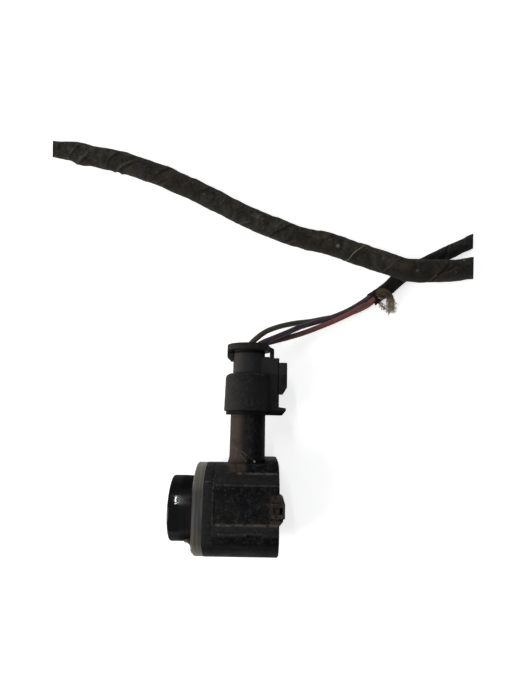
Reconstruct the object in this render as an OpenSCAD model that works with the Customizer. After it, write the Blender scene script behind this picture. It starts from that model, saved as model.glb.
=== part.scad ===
// Ultrasonic parking sensor with its plug and a cut length of wiring loom, lying on its side.
// X runs from the membrane back through the housing, Y along the connector stub, Z up.
// The origin is the middle of the membrane's front face.

/* [Membrane cup] */
// Outside diameter of the membrane cup
cup_d = 15.8; // [14.6:0.1:16.4]
// How far the membrane stands out in front of the decoupling ring
cup_proud = 6.1; // [5:0.1:8]
// Radius of the rounded front edge
cup_edge_r = 0.5; // [0.3:0.1:1.2]
// Side wall of the cup
cup_wall = 1; // [0.6:0.1:1.4]
// Thickness of the sounding membrane
membrane_t = 0.7; // [0.4:0.05:1.2]
// Depth of the cup behind the front face of the decoupling ring
cup_seat_l = 4.2; // [3.6:0.1:4.5]
// How far the foot flange stands out from the cup
cup_flange_w = 0.6; // [0.4:0.1:0.7]
// Thickness of the foot flange
cup_flange_t = 0.9; // [0.6:0.1:1.2]
// Diameter of the piezo disc on the membrane
piezo_d = 8.4; // [6:0.1:11]
// Thickness of the piezo disc
piezo_t = 1; // [0.5:0.1:1.5]
// Thickness of the damping pad behind the piezo disc
damping_t = 5.5; // [3:0.1:8]

/* [Decoupling ring] */
// Outside diameter of the ring
ring_d = 22.5; // [21.5:0.1:22.6]
// Thickness of the ring
ring_t = 2.5; // [2.2:0.1:4]
// Chamfer on the ring's front edge
ring_chamfer = 0.3; // [0.1:0.1:0.8]
// How far the locating lip runs out along the membrane
lip_l = 2.3; // [1:0.1:3.5]
// How much the cup's side tapers in under the locating lip
lip_seat = 0.15; // [0.05:0.05:0.25]
// Angle that the locating lip spans round the membrane
lip_angle = 70; // [30:5:120]
// How far the ring's front edge is drawn back below the lip
edge_back = 1.7; // [0.8:0.1:2.2]

/* [Housing] */
// Diameter of the housing
housing_d = 22.6; // [22.3:0.1:25]
// Length of the housing behind the seam
housing_l = 15.8; // [15:0.1:20]
// Length of the retaining collar in front of the seam
collar_l = 2.2; // [1.6:0.1:3]
// Wall of the housing
wall = 1.4; // [1:0.1:1.8]
// Thickness of the rear wall
rear_wall = 1.5; // [1:0.1:2]
// Height of the two grip flats above and below the axis
flat_z = 9.1; // [8.6:0.1:10]
// Bevel on the rear edge
edge_bevel = 0.3; // [0.1:0.05:0.6]
// Bevel on both sides of the seam
seam_bevel = 0.1; // [0.05:0.05:0.3]
// Height of the raised plateau on the upper flat
plateau_h = 0.25; // [0.1:0.05:0.4]
// Height of the rear shoulder beside the stub
shoulder_y = 12.4; // [12:0.1:15]
// Length of the rear shoulder
shoulder_l = 3.5; // [2.5:0.1:3.6]
// Half thickness of the stub's base pad
pad_z = 6.6; // [5.5:0.1:7.5]
// How far the retaining lug stands out behind the housing
lug_out = 1.3; // [0.8:0.1:2]
// Clearance between pieces that are fitted together
fit = 0.05; // [0.02:0.01:0.1]

/* [Connector stub] */
// Distance from the rear of the housing to the stub's axis
stub_from_back = 8.1; // [7.6:0.1:9]
// Diameter of the stub at its foot
stub_foot_d = 9.1; // [8.9:0.1:9.3]
// Diameter of the stub at its mouth
stub_tip_d = 8.9; // [8.5:0.1:9]
// Bore of the stub's mouth
stub_bore_d = 7; // [6.8:0.1:7.4]
// Height of the stub's mouth above the membrane's axis
stub_tip_y = 31.9; // [29:0.1:35]
// Depth of the socket in the stub
socket_l = 15.9; // [14:0.1:17]
// Thickness of the web that holds the contact pins
web_t = 2.4; // [1.5:0.1:3]
// Width of a contact pin
pin_w = 0.64; // [0.5:0.02:0.8]
// Pitch of the two upper contact pins
pin_pitch = 1.8; // [1.7:0.05:1.9]
// Clear space between a contact pin's tip and the stub's mouth
pin_back = 2.4; // [1:0.1:4]

/* [Circuit board] */
// Thickness of the circuit board
board_t = 0.9; // [0.8:0.05:1.1]
// Clear space between the seam and the board
board_front = 2.4; // [2:0.1:3.5]
// Clear space at the board's long edges
board_side = 0.25; // [0.15:0.05:0.5]
// Side of the square driver chip
chip_w = 4.4; // [3:0.1:5]
// Height of the driver chip
chip_h = 1.1; // [0.7:0.1:1.6]
// Side of the transformer's foot
coil_w = 4.8; // [4:0.1:5.2]
// Height of the transformer
coil_h = 5; // [3.5:0.1:5.5]
// Length of a capacitor
cap_chip_l = 1.6; // [1:0.1:2]
// Width and height of a capacitor
cap_chip_w = 0.8; // [0.5:0.1:1]
// Pitch of a row of capacitors
cap_pitch = 1.7; // [1.2:0.1:2]
// Clear space between pieces on the board
board_gap = 0.7; // [0.4:0.1:1]
// Diameter of a transducer lead
lead_d = 0.5; // [0.3:0.05:0.7]
// Distance between the two transducer leads
lead_pitch = 4; // [2.5:0.1:5]

/* [Plug] */
// Diameter of the plug's collar at its mouth
collar_d = 12.5; // [12.2:0.1:13.2]
// Diameter of the plug's collar at its shoulder
collar_top_d = 12.1; // [11.8:0.1:12.5]
// Height of the collar's mouth above the membrane's axis
collar_y = 24.2; // [22:0.1:26]
// Wall of the plug above the socket's mouth
plug_roof = 2.5; // [2.2:0.1:3.5]
// Radius of the rounded shoulder
collar_round = 1.3; // [0.6:0.1:1.8]
// Clearance between the stub and the collar
collar_gap = 0.2; // [0.1:0.05:0.3]
// How far the inner sleeve shows below the collar
sleeve_out = 0.9; // [0.4:0.1:1.5]
// Wall of the inner sleeve
sleeve_wall = 1; // [0.6:0.1:1.1]
// Diameter of the plug's neck
neck_d = 8.35; // [8:0.05:9]
// Length of the neck above the roof
neck_l = 5.7; // [4.5:0.1:7.5]
// Wall of the neck
neck_wall = 0.72; // [0.5:0.02:0.9]
// Diameter of the nose that enters the socket
nose_d = 5.2; // [5:0.1:5.5]
// Clear space between the nose and the bottom of the socket
nose_back = 1.6; // [1:0.1:3]
// Width of the latch
latch_w = 5.4; // [4:0.1:6]
// How far the latch stands out from the plug's axis
latch_out = 9.95; // [9.2:0.05:10.5]
// How far the thumb block stands out from the latch's arm
thumb_out = 2.05; // [1.6:0.05:2.3]
// Side of a terminal's box
terminal_w = 1.2; // [1.1:0.05:1.3]
// Length of the seal on the nose
seal_l = 4; // [3:0.1:5]
// Length of the seal round the wires
wire_seal_l = 3.8; // [3:0.1:4.2]
// Diameter of the rear cap's flange
cap_d = 11.6; // [10.8:0.1:12]
// Thickness of the rear cap's flange
cap_t = 1.5; // [1:0.1:2]

/* [Wires] */
// Diameter of a wire
wire_d = 1.5; // [1.3:0.05:1.5]
// Diameter of the taped branch
branch_d = 3.9; // [3.6:0.05:4]
// Diameter of the main loom
loom_d = 6.2; // [5.8:0.05:6.3]
// Diameter of the main loom at its thin end
loom_end_d = 4.7; // [4.2:0.05:5.5]

/* [Hidden] */
$fn = 64;
eps = 0.01;

// Stations along the membrane's axis
cup_r = cup_d / 2;
ring_r = ring_d / 2;
housing_r = housing_d / 2;
x_ring = cup_proud;
x_collar = x_ring + ring_t;
x_seam = x_collar + collar_l;
x_back = x_seam + housing_l;
x_stub = x_back - stub_from_back;
x_cavity_end = x_back - rear_wall;
cavity_r = housing_r - wall;
cup_seat_r = cup_r - 0.3;
flange_x = x_ring + (ring_t - cup_flange_t) / 2;
pad_x = membrane_t + piezo_t;
lip_x = x_ring - lip_l;
lip_seat_x = lip_x - 0.2;
lip_seat_r = cup_r - lip_seat;
flat_half = sqrt(housing_r * housing_r - flat_z * flat_z);
spigot_l = 1.5;
spigot_z = cup_r - 1.5;

// Stations along the stub and the plug
stub_foot_y = shoulder_y - 1;
socket_y = stub_tip_y - socket_l;
web_y = socket_y - web_t;
stub_bore_r = stub_bore_d / 2;
pin_tip_y = stub_tip_y - pin_back;
pin_foot_y = 4.6;
pin_row = board_t + pin_w;
PINS = [[-pin_pitch / 2, pin_row / 3], [0, -2 * pin_row / 3], [pin_pitch / 2, pin_row / 3]];
ceiling_y = stub_tip_y + 0.5;
roof_y = ceiling_y + plug_roof - 0.6;
shoulder_top_y = ceiling_y + 1.5;
neck_y = roof_y + neck_l;
neck_r = neck_d / 2;
neck_bore_r = neck_r - neck_wall;
nose_tip_y = socket_y + nose_back;
nose_r = nose_d / 2;
collar_bore_r = stub_foot_d / 2 + collar_gap;
seal_y = ceiling_y - seal_l - 0.4;
wire_seal_y = roof_y + wire_seal_l;
cap_y = neck_y + cap_t;
ear_z = 1.6;
ear_l = 2.7;
ear_t = 1.1;
ear_drop = 2;
ear_out = x_stub + cap_d / 2 + 0.75;
catch_y = collar_y + 1.6;
catch_l = 1.2;
catch_half_w = 1.4;
catch_out = 0.25;
stub_fillet = 0.5;

// Circuit board, its middle between the two rows of contact pins
board_z = -pin_row / 6;
board_top = board_z + board_t / 2;
board_under = board_z - board_t / 2;
board_x0 = x_seam + board_front;
board_x1 = x_cavity_end - 0.3;
board_half = sqrt(cavity_r * cavity_r - 1) - board_side;
chip_x = board_x0 + board_gap;
chip_y = -lead_pitch / 2 - lead_d - board_gap / 2;
rib_w = 1.1;
rib_t = 1.2;

// The surface that the part lies on, and the cords that lie there with it
floor_z = -flat_z;
wire_r = wire_d / 2;
bundle_r = wire_r * 1.25;
branch_dir = [0.8, 0.6, 0];
branch_side = [-0.6, 0.8, 0];
branch_start = [53.1, 56.8, -7.1];
bundle_run = 2.5;
bundle_turn = 115;

function unit(v) = v / norm(v);
function tangent(p, i) = unit(p[min(i + 1, len(p) - 1)] - p[max(i - 1, 0)]);
function at(r, i) = is_list(r) ? r[i] : r;
function section(c, t, r, n) =
    let (s = unit(cross(t, [0, 0, 1])), u = cross(s, t))
    [for (k = [0 : n - 1]) let (a = (k + 0.5) * 360 / n) c + r / cos(180 / n) * (cos(a) * s + sin(a) * u)];
function tube_sides(rings, n) =
    [for (i = [0 : rings - 2]) for (k = [0 : n - 1]) let (j = (k + 1) % n)
        each [[i * n + k, i * n + j, i * n + n + j], [i * n + k, i * n + n + j, i * n + n + k]]];
function wire_start(i) = [
    [x_stub + PINS[i][0], roof_y, PINS[i][1]],
    [x_stub + PINS[i][0], wire_seal_y, PINS[i][1]]
];
function in_bundle(a) = bundle_r * (cos(a) * branch_side + sin(a) * [0, 0, 1]);
function wire_end(a) = [
    branch_start - bundle_run * branch_dir + in_bundle(a),
    branch_start + in_bundle(a)
];

olive_route = concat(wire_start(0), [
    [18, 40.6, 0.6], [19.1, 42.2, 0.6], [21, 44.1, 0.2], [23.2, 46, -1.9], [26.6, 47.9, -5],
    [31, 49.4, -7.3], [35.4, 50.2, -8.3], [39.1, 51, -8.3], [43.2, 51.8, -8.3], [47.2, 52.9, -8.3]
], wire_end(bundle_turn + 120));
red_route = concat(wire_start(1), [
    [19.3, 40.3, -1.1], [21.1, 41.9, -1.3], [23.5, 42.7, -1.6], [28.7, 44.4, -3], [33.2, 46.1, -4.6],
    [37.9, 48.1, -5.4], [42.2, 50, -5.4], [46.3, 52, -5.1], [49.2, 53.8, -5.3]
], wire_end(bundle_turn));
violet_route = concat(wire_start(2), [
    [19.8, 40.2, 0.5], [20.8, 41.6, 0.4], [22.2, 42.5, 0.3], [25.2, 43.9, -0.3], [28.8, 45.7, -1.7],
    [32.5, 47.7, -3.6], [36.3, 49.3, -5.8], [40.3, 50.7, -6.5], [44.2, 52.3, -6.6], [47.3, 53.9, -6.6]
], wire_end(bundle_turn - 120));
branch_route = [
    branch_start, branch_start + 5 * branch_dir, [61.7, 63.6, -7.1], [65.3, 65.9, -7.1],
    [70.6, 68.7, -7.1], [76.2, 71.5, -7.1], [82.9, 74.8, -7.1]
];
loom_route = [
    [-42, 101.3, -6.7], [-34.4, 100.25, -6.3], [-26.4, 98.2, -6], [-19.1, 96.5, -6],
    [-12.4, 94.2, -6], [-4.5, 91.1, -6], [1.5, 88.3, -6], [7.2, 85.5, -6], [14.6, 81.7, -6],
    [21, 78.75, -6], [27.8, 75.9, -6], [35, 73.8, -6], [39.6, 72.9, -5.8], [44.1, 71.2, -5.3],
    [48.6, 69.3, -4.5], [53.9, 67, -3.2], [57.1, 65.5, -2.4], [60.8, 64.1, -1.7], [64.6, 63.7, -1.5],
    [70.1, 63.8, -1.8], [75, 64.3, -2.9], [81.4, 65.7, -4.6]
];
thin_points = 2;
loom_r = [for (i = [0 : len(loom_route) - 1])
    (loom_end_d + (loom_d - loom_end_d) * min(1, i / thin_points)) / 2];
tail_route = [[56.7, 56.7, -6.6], [57.2, 55.9, -6.9], [58, 54.8, -7.6], [58.7, 53.6, -8.5]];
tail_r = [0.9, 0.9, 0.7, 0.4];

// A profile of [radius, x] points turned about the membrane's axis
module turned_x(angle = 360) {
    rotate([0, 90, 0])
        rotate_extrude(angle = angle) children();
}

// A profile of [radius, y] points turned about the stub's axis
module turned_y() {
    translate([x_stub, 0, 0]) rotate([-90, 0, 0]) rotate_extrude() children();
}

// A cylinder along the stub's axis
module post_y(r, y0, y1, x = 0, z = 0) {
    translate([x_stub + x, y0, z]) rotate([-90, 0, 0]) cylinder(r = r, h = y1 - y0);
}

// A box from its lowest to its highest corner
module box(lo, hi) {
    translate(lo) cube(hi - lo);
}

// The round section with its two grip flats, in the plane across the membrane's axis
module grip_section(r, z) {
    intersection() {
        circle(r);
        square([2 * r + 1, 2 * z], center = true);
    }
}

// That section drawn out along the membrane's axis
module grip_bar(r, z, x0, x1) {
    translate([x0, 0, 0]) rotate([90, 0, 90]) linear_extrude(x1 - x0) grip_section(r, z);
}

// A round bar with a bevel at each end, for trimming a grip bar's edges
module bevelled_bar(r, x0, x1, b0, b1) {
    turned_x() polygon([[0, x0], [r - b0, x0], [r, x0 + b0], [r, x1 - b1], [r - b1, x1], [0, x1]]);
}

// A closed tube through the points of a route
module tube(route, r, n) {
    rings = len(route);
    polyhedron(
        points = [for (i = [0 : rings - 1]) each section(route[i], tangent(route, i), at(r, i), n)],
        faces = concat(
            [[for (k = [n - 1 : -1 : 0]) k]],
            tube_sides(rings, n),
            [[for (k = [0 : n - 1]) (rings - 1) * n + k]]
        ),
        convexity = 8
    );
}

// Sensor

module membrane_cup() {
    e = cup_edge_r;
    color("black") turned_x() difference() {
        union() {
            translate([0, e]) square([cup_r, lip_seat_x - e]);
            square([cup_r - e, e + eps]);
            intersection() {
                translate([cup_r - e, e]) circle(e);
                translate([cup_r - e, 0]) square(e);
            }
            polygon([[0, lip_seat_x - eps], [cup_r, lip_seat_x - eps], [cup_r, lip_seat_x],
                [lip_seat_r, x_ring], [0, x_ring]]);
            translate([0, x_ring - eps]) square([cup_seat_r, cup_seat_l + eps]);
            translate([0, flange_x]) square([cup_r + cup_flange_w, cup_flange_t]);
        }
        translate([-1, membrane_t]) square([cup_r - cup_wall + 1, cup_proud + cup_seat_l]);
    }
}

module lip_profile() {
    // A concave flare from the membrane's tapered side out to the ring's edge
    lip_end_t = 0.35;
    root = lip_seat_r + fit;
    rise = ring_r - 0.6 - root;
    difference() {
        polygon([
            [cup_r + fit, lip_x], [root + rise, lip_x], [root + rise, x_ring + eps], [root, x_ring + eps]
        ]);
        translate([root + rise, lip_x]) scale([rise / lip_l, 1]) circle(lip_l - lip_end_t);
    }
}

module decoupling_ring() {
    color("#777a66") difference() {
        union() {
            intersection() {
                grip_bar(ring_r, flat_z, x_ring, x_collar);
                turned_x() polygon([
                    [0, x_ring], [ring_r - ring_chamfer, x_ring], [ring_r, x_ring + ring_chamfer],
                    [ring_r, x_collar], [0, x_collar]
                ]);
            }
            rotate([-90 - lip_angle / 2, 0, 0]) turned_x(lip_angle) lip_profile();
        }
        turned_x() translate([0, x_ring - eps]) square([cup_seat_r + fit, ring_t + 1]);
        turned_x() translate([0, flange_x - fit])
            square([cup_r + cup_flange_w + fit, cup_flange_t + 2 * fit]);
        // Below the lip the front edge is drawn back
        translate([0, 0, -flat_z]) linear_extrude(2 * flat_z) polygon([
            [lip_x, -ring_r - 1], [x_ring + edge_back, -ring_r - 1], [x_ring + edge_back, -ring_r],
            [x_ring + edge_back / 3, -ring_r + 0.22], [x_ring - 0.1, -ring_r + 0.7]
        ]);
    }
}

module retaining_collar() {
    color("#26262a") difference() {
        union() {
            intersection() {
                grip_bar(housing_r, flat_z, x_collar, x_seam);
                bevelled_bar(housing_r, x_collar - 1, x_seam, seam_bevel, seam_bevel);
            }
            // Two tongues, one on each side, that enter the housing
            grip_bar(cavity_r - fit, spigot_z, x_seam - eps, x_seam + spigot_l);
        }
        turned_x() translate([0, x_collar - 1]) square([cup_seat_r + 4 * fit, collar_l + spigot_l + 2]);
    }
}

module piezo_disc() {
    color("#c9c4b0") translate([membrane_t, 0, 0]) rotate([0, 90, 0]) cylinder(d = piezo_d, h = piezo_t);
}

module damping_pad() {
    color("#4a4a44") difference() {
        translate([pad_x, 0, 0]) rotate([0, 90, 0]) cylinder(r = cup_r - cup_wall - fit, h = damping_t);
        lead_pair(lead_d / 2 + fit, pad_x - 1, pad_x + damping_t + 1);
    }
}

module lead_pair(r, x0, x1) {
    for (side = [-1, 1])
        translate([x0, side * lead_pitch / 2, board_top + lead_d / 2])
            rotate([0, 90, 0]) cylinder(r = r, h = x1 - x0, $fn = 24);
}

module transducer_leads() {
    color("#b5733c") lead_pair(lead_d / 2, pad_x, board_x0 + 2);
}

module circuit_board() {
    color("#1f5a36") box([board_x0, -board_half, board_under], [board_x1, board_half, board_top]);
}

module driver_chip() {
    color("#17171a") box([chip_x, chip_y - chip_w, board_top], [chip_x + chip_w, chip_y, board_top + chip_h]);
}

module transformer() {
    foot_h = 0.8;
    x = board_x1 - board_gap - coil_w / 2;
    y = chip_y + board_gap + coil_w / 2;
    translate([x, y, board_top]) color("#3d2f28") {
        translate([0, 0, foot_h / 2]) cube([coil_w, coil_w, foot_h], center = true);
        cylinder(d = coil_w * 0.72, h = coil_h - foot_h / 2);
        translate([0, 0, coil_h - foot_h]) cylinder(d = coil_w, h = foot_h);
    }
}

module capacitors() {
    chip = [cap_chip_l, cap_chip_w, cap_chip_w];
    color("#8c7a5c") {
        translate([board_x1 - board_gap - cap_chip_l, chip_y - board_gap, board_top])
            for (k = [0 : 2])
                translate([0, -k * cap_pitch, 0]) cube(chip);
        translate([chip_x, 0, board_under - cap_chip_w])
            for (k = [-2 : 1])
                translate([0, k * cap_pitch, 0]) cube(chip);
    }
}

module pin_row_bars(w, y0, y1) {
    for (p = PINS)
        box([x_stub + p[0] - w / 2, y0, p[1] - w / 2], [x_stub + p[0] + w / 2, y1, p[1] + w / 2]);
}

module contact_pins() {
    color("#c8b25a") pin_row_bars(pin_w, pin_foot_y, pin_tip_y);
}

module base_pad() {
    // The pad under the stub with its rounded corner, and the higher shoulder behind it
    x0 = x_stub - 5;
    corner = 2.4;
    corner_r = 0.6;
    foot = sqrt(housing_r * housing_r - pad_z * pad_z);
    translate([0, 0, -pad_z]) linear_extrude(2 * pad_z) {
        difference() {
            translate([x0, foot - 0.1]) square([x_back - edge_bevel - x0, housing_r - foot + 0.1]);
            translate([x0 - eps, foot - 0.1 - eps]) difference() {
                square(corner);
                translate([corner, corner]) circle(corner);
            }
        }
        difference() {
            translate([x_back - shoulder_l, foot]) square([shoulder_l - edge_bevel, shoulder_y - foot]);
            translate([x_back - edge_bevel - corner_r, shoulder_y - corner_r]) difference() {
                square(2 * corner_r);
                circle(corner_r);
            }
        }
    }
}

module retaining_lug() {
    // The clip on the rear edge of the upper flat, with its window and its slot
    lug_top = flat_z + 0.5;
    difference() {
        translate([0, 0, flat_z / 2]) linear_extrude(lug_top - flat_z / 2) polygon([
            [x_back - 2.4, -2.3], [x_back, -2.3], [x_back + lug_out, -0.7], [x_back + lug_out, 2.7],
            [x_back + lug_out - 0.4, 3.9], [x_back, 4.5], [x_back - 2.4, 4.5]
        ]);
        box([x_back - 1.6, 0.3, lug_top - 1.3], [x_back + lug_out - 0.5, 1.9, lug_top + 1]);
        box([x_back - 2, -1.2, lug_top - 1.5], [x_back + lug_out + 1, -0.6, lug_top + 1]);
        box([x_back - 3, -3, lug_top - 0.25], [x_back + lug_out + 1, -1.2, lug_top + 1]);
        box([x_back - 3, 2.7, lug_top - 0.3], [x_back + lug_out + 1, 5, lug_top + 1]);
    }
}

module board_ribs() {
    for (side = [-1, 1]) {
        y0 = side < 0 ? -cavity_r - wall / 2 : board_half - rib_w;
        y1 = side < 0 ? -board_half + rib_w : cavity_r + wall / 2;
        box([x_seam + spigot_l + 0.3, y0, board_under - rib_t], [x_cavity_end + eps, y1, board_top + rib_t]);
    }
}

module grip_details() {
    // The raised plateau on the upper flat and the short ridge below it
    box([x_seam + 0.8, -2, flat_z - 0.5], [x_back - 2, flat_half - 0.1, flat_z + plateau_h]);
    box([x_seam + 1.5, -4.4, flat_z - 0.5], [x_stub, -4.1, flat_z + plateau_h]);
}

module grip_slot() {
    // The long recess beside that ridge
    slot_w = 0.9;
    slot_l = 2.8;
    slot_depth = 0.6;
    translate([x_stub + 1, -5.1, flat_z - slot_depth]) linear_extrude(2) {
        square([slot_l, slot_w]);
        for (x = [0, slot_l])
            translate([x, slot_w / 2]) circle(d = slot_w, $fn = 24);
    }
}

module housing() {
    color("#26262a") difference() {
        union() {
            difference() {
                union() {
                    intersection() {
                        grip_bar(housing_r, flat_z, x_seam, x_back);
                        bevelled_bar(housing_r, x_seam, x_back, seam_bevel, edge_bevel);
                    }
                    base_pad();
                    retaining_lug();
                    grip_details();
                }
                grip_bar(cavity_r, flat_z - wall, x_seam - 1, x_cavity_end);
                grip_slot();
            }
            board_ribs();
            turned_y() polygon([
                [0, stub_foot_y - 4], [stub_foot_d / 2 + stub_fillet, stub_foot_y - 4],
                [stub_foot_d / 2 + stub_fillet, shoulder_y - 1.6], [stub_foot_d / 2, shoulder_y + 0.4],
                [stub_tip_d / 2, stub_tip_y - 0.3], [stub_tip_d / 2 - 0.3, stub_tip_y], [0, stub_tip_y]
            ]);
            // Catch for the plug's latch
            box([x_stub + stub_bore_r + fit, catch_y, -catch_half_w],
                [x_stub + collar_bore_r + catch_out, catch_y + catch_l, catch_half_w]);
        }
        post_y(stub_bore_r, socket_y, stub_tip_y + 1);
        post_y(stub_bore_r, 5, web_y);
        pin_row_bars(pin_w + 2 * fit, web_y - 1, socket_y + 1);
        box([board_x0 - 1, -board_half - fit, board_under - fit],
            [board_x1 + fit, board_half + fit, board_top + fit]);
    }
}

// Plug

module latch() {
    // Side outline of the latch: thumb block above, notch, and foot below
    out = x_stub + latch_out;
    root = x_stub + 2;
    arm = out - thumb_out;
    step = neck_y - ear_drop - fit;
    step_x = ear_out - ear_t - 2 * fit;
    thumb_top = step - 1.15;
    thumb_foot = collar_y + 4.6;
    hook_out = out - 0.25;
    hook_top = collar_y + 1.2;
    foot_y = collar_y - sleeve_out;
    groove_w = 0.35;
    groove_d = 0.5;
    difference() {
        translate([0, 0, -latch_w / 2]) linear_extrude(latch_w) polygon([
            [root, step + 0.3], [step_x, step + 0.3], [step_x, step], [arm, step], [arm, thumb_top],
            [out - 0.2, thumb_top], [out, thumb_top - 0.2], [out, thumb_foot + 1.6],
            [out - 0.95, thumb_foot], [arm, thumb_foot], [arm, hook_top], [hook_out, hook_top - 0.3],
            [hook_out, collar_y + 0.3], [hook_out - 0.95, foot_y], [root, foot_y]
        ]);
        // Groove along the thumb block, on both faces
        for (side = [-1, 1])
            box([arm - groove_w, thumb_foot - 0.6, side * latch_w / 2 - groove_d],
                [arm, thumb_top + 0.4, side * latch_w / 2 + groove_d]);
    }
}

module moulded_mark() {
    // Three short ribs on the collar's upper side
    mark_w = 1.55;
    rib = 0.25;
    y0 = collar_y + 1.3;
    x0 = x_stub - 0.1;
    for (x = [x0, x0 + mark_w - rib])
        box([x, y0, stub_foot_d / 2], [x + rib, y0 + 1.7, collar_d / 2 + 0.06]);
    box([x0, y0, stub_foot_d / 2], [x0 + mark_w, y0 + 0.2, collar_d / 2 + 0.02]);
}

module collar_profile() {
    r0 = collar_d / 2;
    r1 = collar_top_d / 2;
    c = collar_round;
    union() {
        polygon([
            [0, collar_y], [r0 - 0.15, collar_y], [r0, collar_y + 0.15],
            [r1, shoulder_top_y - c], [0, shoulder_top_y - c]
        ]);
        translate([0, shoulder_top_y - c - eps]) square([r1 - c, c + eps]);
        intersection() {
            translate([r1 - c, shoulder_top_y - c]) circle(c);
            translate([r1 - c, shoulder_top_y - c - eps]) square(c + eps);
        }
        translate([0, collar_y - sleeve_out]) square([collar_bore_r + sleeve_wall, sleeve_out + 1]);
        translate([0, shoulder_top_y - 1]) square([neck_r, neck_y - shoulder_top_y + 1]);
    }
}

module plug_housing() {
    color("#2c2c30") {
        difference() {
            union() {
                turned_y() collar_profile();
                latch();
                moulded_mark();
            }
            post_y(collar_bore_r, collar_y - sleeve_out - 1, ceiling_y);
            post_y(neck_bore_r, roof_y, neck_y + 1);
            // Window that takes the stub's catch
            box([x_stub, catch_y - 0.2, -catch_half_w - 0.2],
                [x_stub + collar_bore_r + catch_out + 0.2, catch_y + catch_l + 0.2, catch_half_w + 0.2]);
            pin_row_bars(terminal_w + 2 * fit, ceiling_y - 1, roof_y + 1);
        }
        difference() {
            post_y(nose_r, nose_tip_y, ceiling_y + eps);
            pin_row_bars(terminal_w + 2 * fit, nose_tip_y + 0.6, roof_y + 1);
            pin_row_bars(pin_w + 6 * fit, nose_tip_y - 1, nose_tip_y + 1);
        }
    }
}

module plug_seal() {
    // Soft ring with two sealing beads, on the nose and in the socket's mouth
    bead = stub_bore_r - fit;
    low = bead - 0.25;
    inner = nose_r + fit;
    pitch = seal_l / 2;
    color("#8a4a2a") turned_y() union() {
        translate([inner, seal_y]) square([low - inner, seal_l]);
        for (k = [0, 1])
            translate([inner, seal_y + pitch * k + pitch * 0.25]) square([bead - inner, pitch * 0.5]);
    }
}

module seal_retainer() {
    // Cap on the end of the nose that keeps its seal from sliding off
    inner = nose_r + fit;
    outer = stub_bore_r - 2 * fit;
    color("#3a3a40") turned_y()
        translate([inner, nose_tip_y]) square([outer - inner, seal_y - nose_tip_y]);
}

module terminals() {
    y0 = nose_tip_y + 0.6;
    color("#b9a463") difference() {
        pin_row_bars(terminal_w, y0, roof_y);
        pin_row_bars(pin_w + 2 * fit, y0 - 1, pin_tip_y + 0.5);
    }
}

module wire_seal() {
    color("#7c3b2c") difference() {
        post_y(neck_bore_r - fit, roof_y, wire_seal_y);
        for (p = PINS)
            post_y(wire_r / cos(22.5) + fit, roof_y - 1, wire_seal_y + 1, p[0], p[1]);
    }
}

module rear_cap() {
    slope_x = x_stub + 4.6;
    slope_angle = 28;
    mouth_r = neck_bore_r - 0.6;
    side_mouth_r = 2.2;
    ear_x = x_stub - neck_r - fit;
    cap_x = x_stub - cap_d / 2 + 0.1;
    color("#242428") difference() {
        union() {
            post_y(cap_d / 2, neck_y, cap_y);
            post_y(neck_bore_r - fit, wire_seal_y, neck_y + eps);
            // Ear on the plain side, hooked down over the neck
            translate([0, 0, -ear_z]) linear_extrude(2 * ear_z) polygon([
                [cap_x, cap_y - cap_t / 2], [ear_x, cap_y - cap_t / 2], [ear_x, neck_y - ear_l],
                [ear_x - 0.6, neck_y - ear_l], [cap_x, neck_y - ear_l + 0.9]
            ]);
            // Ear on the latch side, standing on the latch's step
            box([ear_out - ear_t, neck_y - ear_drop, -ear_z], [ear_out, neck_y + eps, ear_z]);
            box([x_stub + mouth_r, neck_y, -ear_z], [ear_out, cap_y, ear_z]);
        }
        post_y(mouth_r, wire_seal_y - 1, cap_y + 1);
        // The mouth is wider on the side to which the wires lean
        post_y(side_mouth_r, neck_y, cap_y + 1, 2.1, -0.3);
        translate([slope_x, cap_y, -cap_d]) rotate([0, 0, -slope_angle])
            translate([-1, 0, 0]) cube(2 * cap_d);
    }
}

// Cords

module wire_olive() {
    color("#5c583f") tube(olive_route, wire_r, 8);
}

module wire_red() {
    color("#8a4a44") tube(red_route, wire_r, 8);
}

module wire_violet() {
    color("#4b3d5c") tube(violet_route, wire_r, 8);
}

module branch_tape() {
    color("#1d1d1c") tube(branch_route, branch_d / 2, 8);
}

module tape_tail() {
    color("#b09a70") tube(tail_route, tail_r, 6);
}

module main_loom() {
    color("#33312b") tube(loom_route, loom_r, 12);
}

housing();
retaining_collar();
decoupling_ring();
membrane_cup();
piezo_disc();
damping_pad();
transducer_leads();
circuit_board();
driver_chip();
transformer();
capacitors();
contact_pins();
plug_housing();
plug_seal();
seal_retainer();
terminals();
wire_seal();
rear_cap();
wire_olive();
wire_red();
wire_violet();
branch_tape();
tape_tail();
main_loom();
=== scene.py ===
"""Looks of a used parking sensor that lies on a white table with its plug and a cut length of loom."""

import math
import random
from bisect import bisect_right

import bmesh
import bpy
from mathutils import Matrix, Vector
from mathutils import noise as value_noise


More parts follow.
